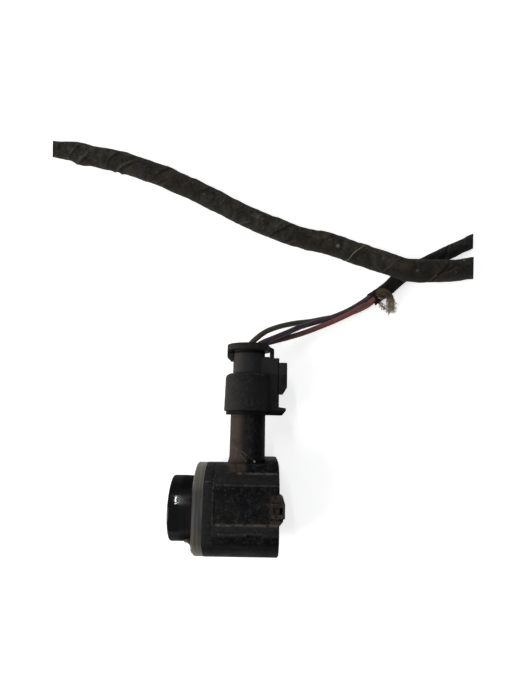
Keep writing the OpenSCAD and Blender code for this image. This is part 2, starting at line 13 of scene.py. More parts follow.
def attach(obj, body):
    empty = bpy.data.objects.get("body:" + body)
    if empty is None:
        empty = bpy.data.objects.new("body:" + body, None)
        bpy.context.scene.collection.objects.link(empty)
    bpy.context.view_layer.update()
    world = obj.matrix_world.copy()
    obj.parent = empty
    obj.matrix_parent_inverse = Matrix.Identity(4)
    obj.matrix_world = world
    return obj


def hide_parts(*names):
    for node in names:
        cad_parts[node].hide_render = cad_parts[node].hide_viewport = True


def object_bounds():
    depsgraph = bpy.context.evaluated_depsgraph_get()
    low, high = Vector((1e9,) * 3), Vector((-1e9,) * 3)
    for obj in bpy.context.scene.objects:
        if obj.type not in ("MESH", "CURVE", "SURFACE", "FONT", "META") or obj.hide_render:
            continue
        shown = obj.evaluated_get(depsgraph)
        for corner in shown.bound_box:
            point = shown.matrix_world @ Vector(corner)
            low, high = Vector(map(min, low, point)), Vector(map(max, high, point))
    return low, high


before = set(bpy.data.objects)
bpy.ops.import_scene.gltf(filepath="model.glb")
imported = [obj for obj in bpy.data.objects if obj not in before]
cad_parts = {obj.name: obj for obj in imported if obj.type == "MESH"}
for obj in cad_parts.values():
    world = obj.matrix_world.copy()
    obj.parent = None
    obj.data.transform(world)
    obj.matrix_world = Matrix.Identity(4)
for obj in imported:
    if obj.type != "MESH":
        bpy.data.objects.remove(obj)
cad_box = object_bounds()

MM = 0.001
ROOT = "root"
UP = Vector((0, 0, 1))
FLOOR_Z = cad_box[0][2]
scene = bpy.context.scene
scene.view_settings.view_transform = "Standard"

# Camera
TARGET = Vector((22.1, 40.57, 0)) * MM
DISTANCE = 123.2 * MM
TILT = math.radians(8.8)
ROLL = math.radians(1.0)
LENS = 23.9
SENSOR = 36
CLIP_START = 1 * MM

# Lamps: place and size in metres, power, colour, and the turn of the one that faces straight down
LAMPS = {
    "tube lamp": ((-0.0863, 0.31, 0.4), (0.004, 0.32), 0.45, (0.97, 0.98, 1), 5.3),
    "left window": ((-0.4, -0.12, 0.28), (0.3, 0.4), 2.1, (1, 0.97, 0.93), None),
    "right fill": ((0.4, -0.05, 0.3), (0.3, 0.3), 0.1, (0.85, 0.92, 1), None),
}
WORLD_STRENGTH = 0.22
FLOOR_REACH = 3.0
FLOOR_LIFT = 0.68
MIRRORED_LIFT = 0.5

# Cords, in millimetres
WIRE_D = 1.5
BRANCH_D = 3.9
LOOM_D = 6.2
LOOM_END_D = 4.7
LOOM_THIN_POINTS = 2
WIRE_FOOT_Y = 34.3
WIRE_SEAL_Y = 38.1
STUB_X = 18.5
PINS = {"olive": (-0.9, 0.513), "red": (0, -1.027), "violet": (0.9, 0.513)}
BRANCH_START = Vector((53.1, 56.8, -7.1))
BRANCH_DIR = Vector((0.8, 0.6, 0))
BRANCH_SIDE = Vector((-0.6, 0.8, 0))
BUNDLE_R = 0.94
BUNDLE_RUN = 2.5
BUNDLE_ANGLES = {"olive": 235, "red": 115, "violet": -5}
IN_TAPE = 4
WIRE_ROUTES = {
    "olive": [
        (18, 40.6, 0.6), (19.1, 42.2, 0.6), (21, 44.1, 0.2), (23.2, 46, -1.9), (26.6, 47.9, -5),
        (31, 49.4, -7.3), (35.4, 50.2, -8.3), (39.1, 51, -8.3), (43.2, 51.8, -8.3), (47.2, 52.9, -8.3),
    ],
    "red": [
        (19.3, 40.3, -1.1), (21.1, 41.9, -1.3), (23.5, 42.7, -1.6), (28.7, 44.4, -3), (33.2, 46.1, -4.6),
        (37.9, 48.1, -5.4), (42.2, 50, -5.4), (46.3, 52, -5.1), (49.2, 53.8, -5.3),
    ],
    "violet": [
        (19.8, 40.2, 0.5), (20.8, 41.6, 0.4), (22.2, 42.5, 0.3), (25.2, 43.9, -0.3), (28.8, 45.7, -1.7),
        (32.5, 47.7, -3.6), (36.3, 49.3, -5.8), (40.3, 50.7, -6.5), (44.2, 52.3, -6.6), (47.3, 53.9, -6.6),
    ],
}
WIRE_STEP = 0.8
WIRE_ROUNDNESS = 4
# Insulation: colour near the plug, colour further on, where it changes along X, and its dust
WIRE_COLOURS = {
    "olive": ((0.064, 0.053, 0.034), (0.032, 0.052, 0.034), 29, (0.1, 0.088, 0.066)),
    "red": ((0.05, 0.022, 0.02), (0.17, 0.052, 0.045), 36, (0.2, 0.1, 0.09)),
    "violet": ((0.038, 0.022, 0.038), (0.052, 0.022, 0.03), 46, (0.11, 0.07, 0.09)),
}
BRANCH_ROUTE = [
    BRANCH_START, BRANCH_START + 5 * BRANCH_DIR, (61.7, 63.6, -7.1), (65.3, 65.9, -7.1),
    (70.6, 68.7, -7.1), (76.2, 71.5, -7.1), (82.9, 74.8, -7.1),
]
BRANCH_SWELL, SWELL_FROM, SWELL_RUN = 0.1, 20, 8
LOOM_ROUTE = [
    (-42, 101.3, -6.7), (-34.4, 100.25, -6.3), (-26.4, 98.2, -6), (-19.1, 96.5, -6),
    (-12.4, 94.2, -6), (-4.5, 91.1, -6), (1.5, 88.3, -6), (7.2, 85.5, -6), (14.6, 81.7, -6),
    (21, 78.75, -6), (27.8, 75.9, -6), (35, 73.8, -6), (39.6, 72.9, -5.8), (44.1, 71.2, -5.3),
    (48.6, 69.3, -4.5), (53.9, 67, -3.2), (57.1, 65.5, -2.4), (60.8, 64.1, -1.7), (64.6, 63.7, -1.5),
    (70.1, 63.8, -1.8), (75, 64.3, -2.9), (81.4, 65.7, -4.6),
]

# Tape: where each turn's edge crosses the top of its cord, as a distance along the route
LOOM_TURNS = (-16, -4, 9, 20.2, 35.4, 48.1, 60.4, 74.2, 86.5, 97.1, 108, 120, 132, 144)
LOOM_EDGES = (0.5, 0.5, 1, 1, 1, 0.5, 0.1, 1, 0.5, 0.8, 0.3, 1, 0.5, 0.5)
LOOM_SHADES = (0.3, 0.1, 0.1, 0.5, 0.6, 0.1, 0, 0.5, 0.4, 0.5, 1, 0.8, 0.6, 0.6)
LOOM_PALE_TURN = 8
LOOM_LIFT = 0.2
LOOM_SEED = 9
BRANCH_TURNS = (-13, -6, 0.8, 9, 17, 25, 32, 40, 48)
BRANCH_EDGES = (1, 1, 1, 0.5, 0.5, 1, 0.5, 0.5, 0.5)
BRANCH_SHADES = (1, 1, 1, 0.9, 0.6, 0, 0, 0, 0)
BRANCH_LIFT = 0.14
BRANCH_SEED = 4
# Crumpled folds: place along the route, slant in millimetres per radian, height, first and last angle
LOOM_FOLDS = (
    (26, -3.4, 0.6, 75, 215), (13, -2.6, 0.4, 95, 200), (40, -4, -0.3, 110, 190),
    (66, -3, 0.22, 110, 200), (79.5, -3, -0.25, 110, 200), (122.5, -6, -0.4, 70, 170),
)
BRANCH_FOLDS = ((24.8, -2.2, -0.4, 20, 175),)
# Lumps: place along the route, half length, height, middle angle, half angle
LOOM_LUMPS = ((9.3, 2.6, 1.0, 180, 50), (22.8, 0.7, 0.5, 178, 35), (115, 6, 0.35, 185, 50))
# A fold's section: angle over which it fades, its crest's half width, and its valley
FOLD_FADE, CREST_HALF = 30, 0.45
VALLEY_DEPTH, VALLEY_PLACE, VALLEY_HALF = 0.7, 0.9, 0.5
# Uneven tape: height in millimetres, reach of the noise from the cord's centre, and its size
SWELL = (0.8, 3, 4)
SWELL_MEAN, SWELL_LEAST = 0.6, 0.15
CREASES = (0.1, 2, 1.5)
DENTS = (0.22, 3, 4.5)
WANDER = (0.9, 3.5, 4.5, Vector((7, 3, 1)))
TAPE_COLUMNS = 64
TAPE_ROWS = (0.0, 0.02, *(0.05 + 0.035 * k for k in range(26)), 0.96, 0.99)
EDGE_CURVE = 1.3
TAPE_SUNK = 0.4
TAPE_WELD, TAPE_SLIVER = 0.004, 0.003
# Tape colours: clean, dusty and the pale edge. A wave texture's phase grows 20 times as fast as its scale
BRANCH_COLOURS = (0.0095, 0.0097, 0.0093), (0.029, 0.029, 0.0264), (0.1, 0.09, 0.075)
LOOM_COLOURS = (0.0216, 0.0208, 0.0168), (0.056, 0.051, 0.041), (0.32, 0.29, 0.2)
BRANCH_THREAD, LOOM_THREAD = 0.35, 0.4
WAVE_RATE = 20
# Lint on the loom: place, radius and strength
LOOM_LINT = (
    ((42.6, 70.8, -2.6), 0.8, 0.42), ((40.9, 72.8, -2.7), 0.6, 0.14), ((43.4, 73.5, -3.1), 0.5, 0.16),
    ((56.7, 67.8, -0.3), 0.7, 0.25), ((54.5, 66.5, 0.1), 0.6, 0.14), ((63.4, 62.7, 1.3), 0.6, 0.2),
    ((77.4, 66.8, -1.3), 0.6, 0.95), ((74.2, 62.8, 0.1), 0.7, 0.16), ((78.6, 65.7, -0.8), 0.6, 0.18),
    ((1.1, 89.4, -3.1), 0.6, 0.2), ((4.4, 85.9, -3.1), 0.6, 0.14), ((19.9, 79.2, -3), 0.9, 0.16),
)
TAPE_WALL = 0.3
END_DEPTH = 1.2
END_SPARE = 3.0
CUT_LEFT = Vector((-1, -0.07, 0.45)).normalized()
CUT_RIGHT = Vector((1, -0.07, 0.45)).normalized()

# Cut ends of the wires in the tape: number of wires and radius of the ring they lie on
BRANCH_ENDS = (3, BUNDLE_R)
LEFT_ENDS = (4, 1.1)
RIGHT_ENDS = (7, 1.75)

# The torn end of the branch's tape: route, width and number of strands of a tuft, a patch and the rag
RAG_WIDTH = 1.7
BUNDLES = (
    ([(54.9, 56.3, -6.9), (55.7, 55.5, -7.8), (56.6, 54.8, -8.4), (57.3, 54.4, -8.7)], 0.8, 9),
    ([(53.9, 57.4, -5.4), (54.7, 57.3, -5.1), (55.6, 57, -5.1), (56.4, 56.6, -5.5)], 1.7, 18),
    ([
        (54.2, 56.8, -5.8), (55, 58.3, -4.8), (56.6, 57.9, -4.9), (57.9, 56.6, -5.9),
        (58.4, 55.2, -7.2), (58.5, 54, -8.2),
    ], RAG_WIDTH, 64),
)
BUNDLE_STEP = 0.25
STRAND_R = 0.09
STRAND_POINTS = 15
FIBRES = 110
FIBRE_R = 0.08
FIBRE_STEPS = 6
THREAD_SIDES = 5
THREAD_TAPER = 0.5
TAIL_SEED = 21

# Edges of the mouldings
WELD = 0.002 * MM
FLAT_ANGLE = math.radians(0.6)
BEVEL_ANGLE = math.radians(32)
BEVEL_SEGMENTS = 2
SHARP_ANGLE = math.radians(38)


# Objects, camera and light
def add(name, data):
    made = bpy.data.objects.new(name, data)
    scene.collection.objects.link(made)
    return made


def make_camera():
    data = bpy.data.cameras.new("camera")
    data.lens = LENS
    data.sensor_width = SENSOR
    data.clip_start = CLIP_START
    camera = add("camera", data)
    place = TARGET + DISTANCE * Vector((0, -math.sin(TILT), math.cos(TILT)))
    turn = Matrix.Rotation(TILT, 4, "X") @ Matrix.Rotation(ROLL, 4, "Z")
    camera.matrix_world = Matrix.Translation(place) @ turn
    scene.camera = camera


def make_lamp(name, place, size, power, colour, turn):
    """An area lamp that faces the object, or one that faces down and is turned on the spot."""
    data = bpy.data.lights.new(name, "AREA")
    data.shape = "RECTANGLE"
    data.size, data.size_y = size
    data.energy = power
    data.color = colour
    lamp = add(name, data)
    lamp.location = place
    if turn is None:
        lamp.rotation_euler = (TARGET - Vector(place)).to_track_quat("-Z", "Y").to_euler()
    else:
        lamp.rotation_euler = (0, 0, math.radians(turn))


def make_light():
    for name, lamp in LAMPS.items():
        make_lamp(name, *lamp)
    world = bpy.data.worlds.new("studio")
    world.use_nodes = True
    background = world.node_tree.nodes["Background"]
    background.inputs["Color"].default_value = (1, 1, 1, 1)
    background.inputs["Strength"].default_value = WORLD_STRENGTH
    scene.world = world


# Node helpers for the materials
class Shader:
    """One material's node tree, with short calls for the nodes that recur."""

    def __init__(self, name):
        self.material = bpy.data.materials.new(name)
        self.material.use_nodes = True
        self.tree = self.material.node_tree
        self.bsdf = self.tree.nodes["Principled BSDF"]
        self.output = self.tree.nodes["Material Output"]
        self.colour = None

    def node(self, kind, settings=None, inputs=None):
        made = self.tree.nodes.new("ShaderNode" + kind)
        for key, value in (settings or {}).items():
            setattr(made, key, value)
        for key, value in (inputs or {}).items():
            self.put(made.inputs[key], value)
        return made

    def vector(self, operation, inputs):
        return self.node("VectorMath", {"operation": operation}, inputs).outputs

    def put(self, socket, value):
        if isinstance(value, bpy.types.NodeSocket):
            self.tree.links.new(value, socket)
        elif isinstance(value, tuple) and len(value) == 3 and socket.type == "RGBA":
            socket.default_value = (*value, 1)
        else:
            socket.default_value = value

    def finish(self, **values):
        """Sets the sockets, with the colour so far, and gives the material."""
        self.put(self.bsdf.inputs["Base Color"], self.colour)
        for key, value in values.items():
            self.put(self.bsdf.inputs[key.replace("_", " ")], value)
        return self.material

    def place(self):
        return self.node("TexCoord").outputs["Object"]

    def axis(self, name):
        split = self.node("SeparateXYZ", inputs={0: self.place()})
        return split.outputs[name]

    def facing(self, name):
        normal = self.node("NewGeometry").outputs["Normal"]
        return self.node("SeparateXYZ", inputs={0: normal}).outputs[name]

    def noise(self, size, detail=4, rough=0.55, stretch=None):
        coords = self.place()
        if stretch:
            stretched = self.node("Mapping", inputs={"Vector": coords, "Scale": stretch})
            coords = stretched.outputs[0]
        made = self.node("TexNoise", inputs={
            "Vector": coords, "Scale": 1 / (size * MM), "Detail": detail, "Roughness": rough})
        return made.outputs["Fac"]

    def spots(self, spacing, radius):
        cells = self.node("TexVoronoi", inputs={
            "Vector": self.place(), "Scale": 1 / (spacing * MM)})
        return self.band(cells.outputs["Distance"], radius / spacing, 0.3 * radius / spacing)

    def flecks(self, specks):
        """Specks of lint, each with its place, radius and strength."""
        result = 0.0
        for place, radius, strength in specks:
            gap = self.vector("DISTANCE", {0: self.place(), 1: tuple(c * MM for c in place)})["Value"]
            speck = self.band(gap, radius * MM, 0.2 * radius * MM, 0, strength)
            result = self.most(speck, result)
        return result

    def scratch(self, start, end, width):
        """A scratch on an upper face, straight as seen from above, between two places in millimetres."""
        first = Vector((*start, 0)) * MM
        run = Vector((*end, 0)) * MM - first
        above = self.vector("MULTIPLY", {0: self.place(), 1: (1, 1, 0)})[0]
        offset = self.vector("SUBTRACT", {0: above, 1: tuple(first)})[0]
        share = self.vector("DOT_PRODUCT", {0: offset, 1: tuple(run / run.length_squared)})["Value"]
        share = self.math("MINIMUM", self.most(share, 0.0), 1.0)
        nearest = self.vector("SCALE", {0: tuple(run), "Scale": share})[0]
        gap = self.vector("DISTANCE", {0: offset, 1: nearest})["Value"]
        return self.times(
            self.band(gap, 0.5 * width * MM, 0.1 * width * MM), self.faces("Z", 0.2, 0.5))

    def between(self, name, low, high, soft):
        """One inside a stretch of an axis, falling to nothing over a soft border, in millimetres."""
        value = self.axis(name)
        rise = self.band(value, (low - soft) * MM, (low + soft) * MM)
        fall = self.band(value, (high + soft) * MM, (high - soft) * MM)
        return self.times(rise, fall)

    def area(self, along_x, along_y):
        return self.times(self.between("X", *along_x), self.between("Y", *along_y))

    def band(self, value, low, high, lowest=0.0, highest=1.0):
        made = self.node("MapRange", {"interpolation_type": "SMOOTHSTEP"}, {
            "Value": value, "From Min": low, "From Max": high, "To Min": lowest, "To Max": highest})
        return made.outputs[0]

    def ramp(self, name, low, high, lowest=0.0, highest=1.0):
        """A smooth step between two places on an axis, in millimetres."""
        return self.band(self.axis(name), low * MM, high * MM, lowest, highest)

    def faces(self, name, low, high, lowest=0.0, highest=1.0):
        """A smooth step by how far the surface faces along an axis."""
        return self.band(self.facing(name), low, high, lowest, highest)

    def math(self, operation, first, second=0.0):
        return self.node("Math", {"operation": operation}, {0: first, 1: second}).outputs[0]

    def times(self, *values):
        result = values[0]
        for value in values[1:]:
            result = self.math("MULTIPLY", result, value)
        return result

    def most(self, *values):
        result = values[0]
        for value in values[1:]:
            result = self.math("MAXIMUM", result, value)
        return result

    def lay(self, top, share, *strength):
        """Lays a colour over the colour so far where the share says."""
        self.colour = self.mix(self.times(share, *strength), self.colour, top)

    def mix(self, factor, first, second):
        made = self.node("Mix", {"data_type": "RGBA"}, {"Factor": factor})
        self.put(made.inputs[6], first)
        self.put(made.inputs[7], second)
        return made.outputs[2]

    def edges(self, radius):
        rounded = self.node("Bevel", {"samples": 6}, {"Radius": radius * MM}).outputs[0]
        flat = self.node("NewGeometry").outputs["Normal"]
        match = self.vector("DOT_PRODUCT", {0: rounded, 1: flat})["Value"]
        return self.band(match, 0.995, 0.86)

    def crevices(self, distance):
        made = self.node(
            "AmbientOcclusion", {"samples": 6, "only_local": True}, {"Distance": distance * MM})
        return self.band(made.outputs["AO"], 0.92, 0.45)

    def bump(self, height, depth, strength=1.0):
        made = self.node("Bump", inputs={
            "Height": height, "Distance": depth * MM, "Strength": strength})
        self.tree.links.new(made.outputs[0], self.bsdf.inputs["Normal"])


# Colours of the materials
DUST = (0.09, 0.068, 0.054)
PALE_DUST = (0.17, 0.15, 0.13)
LINT = (0.5, 0.48, 0.45)
FLUFF = (0.4, 0.4, 0.37)
HOUSING_BLACK = (0.0047, 0.0054, 0.0069), (0.0138, 0.013, 0.0127)
# Painted light on the housing's sides
HOUSING_SIDE_LIGHT = (0.03, 0.0295, 0.031)
# Painted light on the stub's top, and lighter bands on the housing
HOUSING_LIGHT_AND_BANDS = (0.0235, 0.0235, 0.025)
# Painted shade under the housing
HOUSING_UNDERSIDE_SHADE = (0.0012, 0.0013, 0.001)
STUB_SHADE = (0.0027, 0.0036, 0.0045)
LIGHT_GRAIN = (0.04, 0.038, 0.036)
DARK_GRAIN = (0.0034, 0.0037, 0.0044)
PLUG_BLACK = (0.0103, 0.0112, 0.0132), (0.02, 0.0196, 0.0205)
PLUG_GRAIN = (0.041, 0.0395, 0.0395)
# Dust and painted light on the plug's left side
PLUG_LEFT_DUST_AND_LIGHT = (0.042, 0.036, 0.031)
PLUG_WORN = (0.085, 0.08, 0.076)
NECK_FRONT = (0.036, 0.0362, 0.037)
# Painted light on the neck's left side
NECK_LEFT_LIGHT = (0.072, 0.064, 0.058)
CAP_BROWN = (0.034, 0.027, 0.02)
# Painted shade in steps
STEP_SHADE = (0.002, 0.002, 0.0023)
SILICONE_UPPER = (0.15, 0.146, 0.118), (0.22, 0.214, 0.176)
SILICONE_LOWER = (0.055, 0.05, 0.03), (0.11, 0.1, 0.07)
SILICONE_FLAT = (0.048, 0.048, 0.048), (0.09, 0.091, 0.091)
SILICONE_LIP = (0.026, 0.019, 0.014)
SILICONE_STAIN = (0.05, 0.045, 0.032)
SILICONE_SCUFF = (0.25, 0.23, 0.18)
PAINT_BLACK = (0.0017, 0.0021, 0.0029), (0.0062, 0.0062, 0.0066)
PAINT_DUST = (0.08, 0.075, 0.075)
PAINT_FOOT = (0.04, 0.03, 0.022)
FLOOR_WHITE = (0.86, 0.86, 0.86), (0.9, 0.9, 0.9)

# Marks on the housing in millimetres: stretch of X and of Y, each with its soft border, and strength
DUSTY_RIDGES = (
    ((11.5, 26.2, 0.4), (6.55, 6.85, 0.16), 1),
    ((11.5, 26.2, 0.4), (-2.5, -1.95, 0.25), 1.4),
    ((16.4, 26.2, 0.6), (9.0, 9.4, 0.2), 2),
    ((12.4, 22.6, 0.3), (-4.5, -4.0, 0.15), 0.8),
)
SCUFF = (8.8, 10.6, 0.3), (6.7, 7.6, 0.15)
SEAM = (10.75, 11.05, 0.12), (-3, 8.6, 0.4)
FOOT = (13.9, 18.4, 0.8), (9.4, 13.2, 0.8)
FOOT_SCRATCHES = (
    ((15.2, 15.3), (16.7, 14)), ((17.1, 14.4), (20.3, 12.2)), ((16.9, 13.6), (18.4, 11.9)),
)
SCRATCH_WIDTH = 0.35
FOOT_LINT = (((20.5, 11.9, 4.4), 0.4, 1.0),)


# Materials
def tone(colour, factor):
    """A darker or lighter tone of a colour."""
    return tuple(factor * c for c in colour)


def housing_plastic():
    look = Shader("housing plastic")
    cloud = look.noise(3.5, 6, 0.65)
    grain = look.noise(0.7, 6, 0.75)
    look.colour = look.mix(look.band(cloud, 0.4, 0.7), *HOUSING_BLACK)
    # Painted light: the sides that face neither up nor right are lighter, less so at the bottom
    lit_sides = look.times(
        look.faces("Z", 0.97, 0.8), look.faces("X", 0.4, 0.1),
        look.ramp("Y", -6.2, -4.6, 0.15, 1))
    look.lay(HOUSING_SIDE_LIGHT, lit_sides, 0.75)
    on_stub = look.ramp("Y", 12, 14)
    # Painted light on the stub's upward faces, with lighter bands across the housing
    lit_stub_top = look.times(on_stub, look.faces("Z", 0.6, 0.9))
    low = look.times(look.between("Y", -4.9, -2.2, 0.2), 1.4)
    front = look.times(look.ramp("X", 11, 10.8), 1.4)
    shoulder = look.times(look.between("Y", 6.9, 9.2, 0.3), 0.8)
    look.lay(HOUSING_LIGHT_AND_BANDS, look.most(lit_stub_top, low, front, shoulder), 0.5)
    right = look.times(on_stub, look.faces("X", 0.1, 0.6))
    look.lay(STUB_SHADE, right, 0.8)
    look.lay(LIGHT_GRAIN, look.band(grain, 0.5, 0.68, 0, 0.75))
    look.lay(DARK_GRAIN, look.band(grain, 0.5, 0.3, 0, 0.7))
    # Painted shade: darker towards the housing's underside
    underside_shade = look.ramp("Y", -6.2, -7.4)
    look.lay(HOUSING_UNDERSIDE_SHADE, underside_shade, 0.68)
    # Dust, with painted light on the side of the stub that faces left
    stub_left_dust_and_light = look.times(
        look.ramp("Y", 9.5, 13), look.faces("X", -0.1, -0.6),
        look.band(look.noise(2.2, 5, 0.7), 0.2, 0.55))
    look.lay(DUST, stub_left_dust_and_light, 0.6)
    foot = look.times(look.area(*FOOT), look.band(look.noise(1.1, 5, 0.7), 0.3, 0.62, 0.4, 1))
    look.lay(DUST, foot, 0.5)
    upper = look.ramp("Z", 5, 6)
    lines = look.band(look.noise(0.35, 3, 0.6, stretch=(0.2, 1, 1)), 0.48, 0.62)
    scuff = look.times(look.area(*SCUFF), lines, 1.3)
    ridges = [look.times(look.area(x, y), strength) for x, y, strength in DUSTY_RIDGES]
    broken = look.band(look.noise(1.6, 6, 0.75), 0.35, 0.6)
    smears = look.times(look.most(scuff, *ridges), upper, broken)
    look.lay(PALE_DUST, smears, 0.35)
    seam = look.times(look.area(*SEAM), upper, look.band(look.noise(0.5, 3, 0.6), 0.42, 0.62))
    look.lay(PALE_DUST, seam, 0.3)
    lug = look.times(look.ramp("X", 24, 25), look.between("Y", -2.6, 4.8, 0.4))
    lug = look.times(lug, look.ramp("Z", 8.8, 9.2), look.band(grain, 0.3, 0.6))
    look.lay(DUST, lug, 0.55)
    worn = look.times(look.edges(0.22), look.band(look.noise(1.1, 5, 0.7), 0.42, 0.66))
    look.lay(PALE_DUST, worn, 0.3)
    scratches = look.noise(0.5, 3, 0.5, stretch=(0.12, 1, 1))
    look.lay(PALE_DUST, look.band(scratches, 0.7, 0.8, 0, 0.25))
    for start, end in FOOT_SCRATCHES:
        line = look.scratch(start, end, SCRATCH_WIDTH)
        line = look.times(line, look.band(look.noise(0.9, 3), 0.35, 0.6))
        look.lay(PALE_DUST, line, 0.4)
    look.lay(PALE_DUST, look.spots(3.6, 0.12), 0.35)
    look.lay(LINT, look.flecks(FOOT_LINT))
    look.bump(look.math("ADD", look.noise(0.16, 3), grain), 0.05, 0.6)
    return look.finish(Roughness=look.band(cloud, 0.3, 0.7, 0.5, 0.66), Specular_IOR_Level=0.03)


def plug_plastic():
    look = Shader("plug plastic")
    cloud = look.noise(2.8, 6, 0.65)
    grain = look.noise(0.7, 6, 0.75)
    look.colour = look.mix(look.band(cloud, 0.3, 0.75), *PLUG_BLACK)
    look.lay(PLUG_GRAIN, look.band(grain, 0.5, 0.72, 0, 0.5))
    # Dust, with painted light on the sides of the plug that face left
    side = look.times(look.faces("X", -0.1, -0.8), look.band(cloud, 0.15, 0.55))
    look.lay(PLUG_LEFT_DUST_AND_LIGHT, side, 0.55)
    corners = look.times(look.crevices(1.0), look.band(look.noise(1.5, 5), 0.35, 0.6))
    look.lay(DUST, corners, 0.12)
    worn = look.times(look.edges(0.22), look.band(look.noise(0.9, 5, 0.7), 0.4, 0.66))
    look.lay(PLUG_WORN, worn, 0.35)
    neck = look.between("Y", 33.8, 39.9, 0.15)
    look.lay(NECK_FRONT, neck, 0.5)
    # Painted light on the side of the neck that faces left
    lit_neck_side = look.times(neck, look.faces("X", -0.1, -0.8))
    look.lay(NECK_LEFT_LIGHT, lit_neck_side, 0.6)
    rim = look.times(
        look.between("Y", 33.3, 33.9, 0.2), look.ramp("Z", 3, 4), look.band(grain, 0.4, 0.65))
    look.lay(PALE_DUST, rim, 0.3)
    cap = look.times(look.ramp("Y", 39.8, 40.2), look.band(cloud, 0.3, 0.6))
    look.lay(CAP_BROWN, cap, 0.3)
    # Painted shade in the step under the collar and beneath the cap's flange
    painted_step_shade = look.most(look.between("Y", 23.2, 24.4, 0.15), look.between("Y", 39.1, 39.8, 0.25))
    look.lay(STEP_SHADE, painted_step_shade, 0.85)
    look.lay(PALE_DUST, look.spots(3.2, 0.1), 0.3)
    look.bump(look.math("ADD", look.noise(0.14, 3), grain), 0.04, 0.6)
    return look.finish(Roughness=look.band(cloud, 0.3, 0.7, 0.52, 0.68), Specular_IOR_Level=0.07)


def silicone():
    look = Shader("silicone")
    cloud = look.noise(2.4, 5, 0.6)
    stripes = look.band(look.noise(0.5, 3, 0.5, stretch=(1, 0.04, 0.04)), 0.35, 0.65)
    upper = look.mix(stripes, *SILICONE_UPPER)
    lower = look.mix(stripes, *SILICONE_LOWER)
    flat = look.mix(stripes, *SILICONE_FLAT)
    height = look.axis("Y")
    look.colour = look.mix(look.band(height, -2 * MM, 2 * MM), lower, upper)
    middle = look.math("ABSOLUTE", look.math("SUBTRACT", height, 0.8 * MM))
    middle = look.times(look.band(middle, 7.6 * MM, 3.8 * MM), look.faces("Z", 0.3, 0.8))
    look.lay(flat, middle)
    lip = look.times(look.ramp("X", 6.4, 5.6), look.band(cloud, 0.25, 0.5))
    look.lay(SILICONE_LIP, lip, 0.92)
    look.lay(SILICONE_STAIN, look.band(cloud, 0.58, 0.75, 0, 0.35))
    scuff = look.times(
        look.between("Y", 6.9, 7.7, 0.15), look.ramp("Z", 6, 7),
        look.band(look.noise(0.35, 3, 0.6, stretch=(0.2, 1, 1)), 0.48, 0.62))
    look.lay(SILICONE_SCUFF, scuff, 0.5)
    look.bump(look.noise(0.5, 4), 0.04, 0.4)
    return look.finish(
        Roughness=0.45, IOR=1.41, Specular_IOR_Level=0.3, Subsurface_Weight=0.15, Subsurface_Scale=0.8 * MM)


def membrane_paint():
    look = Shader("membrane paint")
    cloud = look.noise(2.0, 5, 0.6)
    look.colour = look.mix(look.band(cloud, 0.5, 0.8), *PAINT_BLACK)
    dust = look.band(look.noise(0.7, 6, 0.75), 0.58, 0.76)
    dust = look.times(dust, look.band(cloud, 0.4, 0.7))
    look.lay(PAINT_DUST, dust, 0.22)
    foot = look.times(look.ramp("X", 4.2, 6), look.band(cloud, 0.35, 0.6))
    look.lay(PAINT_FOOT, foot, 0.3)
    steep = look.math("ABSOLUTE", look.facing("Y"))
    side = look.band(steep, 0.4, 0.8, 0, 0.6)
    gloss = look.band(steep, 0.35, 0.75, 0.33, 0.08)
    haze = look.ramp("X", 2.3, 3.2, 0.05, 0.24)
    look.bump(look.noise(1.2, 3), 0.012, 0.06)
    return look.finish(Roughness=look.math("ADD", haze, side), Specular_IOR_Level=gloss)


def wire_plastic(name, near, far, turn, dusty):
    """Insulation whose colour goes over from one to the other along X."""
    look = Shader(name)
    cloud = look.noise(1.6, 5, 0.65)
    along = look.math("ADD", look.axis("X"), look.times(cloud, 5 * MM))
    look.colour = look.mix(look.band(along, (turn - 5) * MM, (turn + 9) * MM), near, far)
    film = look.times(look.faces("Z", 0.0, 0.9), look.band(cloud, 0.35, 0.65))
    look.lay(dusty, film, 0.35)
    look.bump(look.noise(0.3, 3), 0.02, 0.4)
    return look.finish(Roughness=look.band(cloud, 0.3, 0.7, 0.38, 0.55), Specular_IOR_Level=0.3)


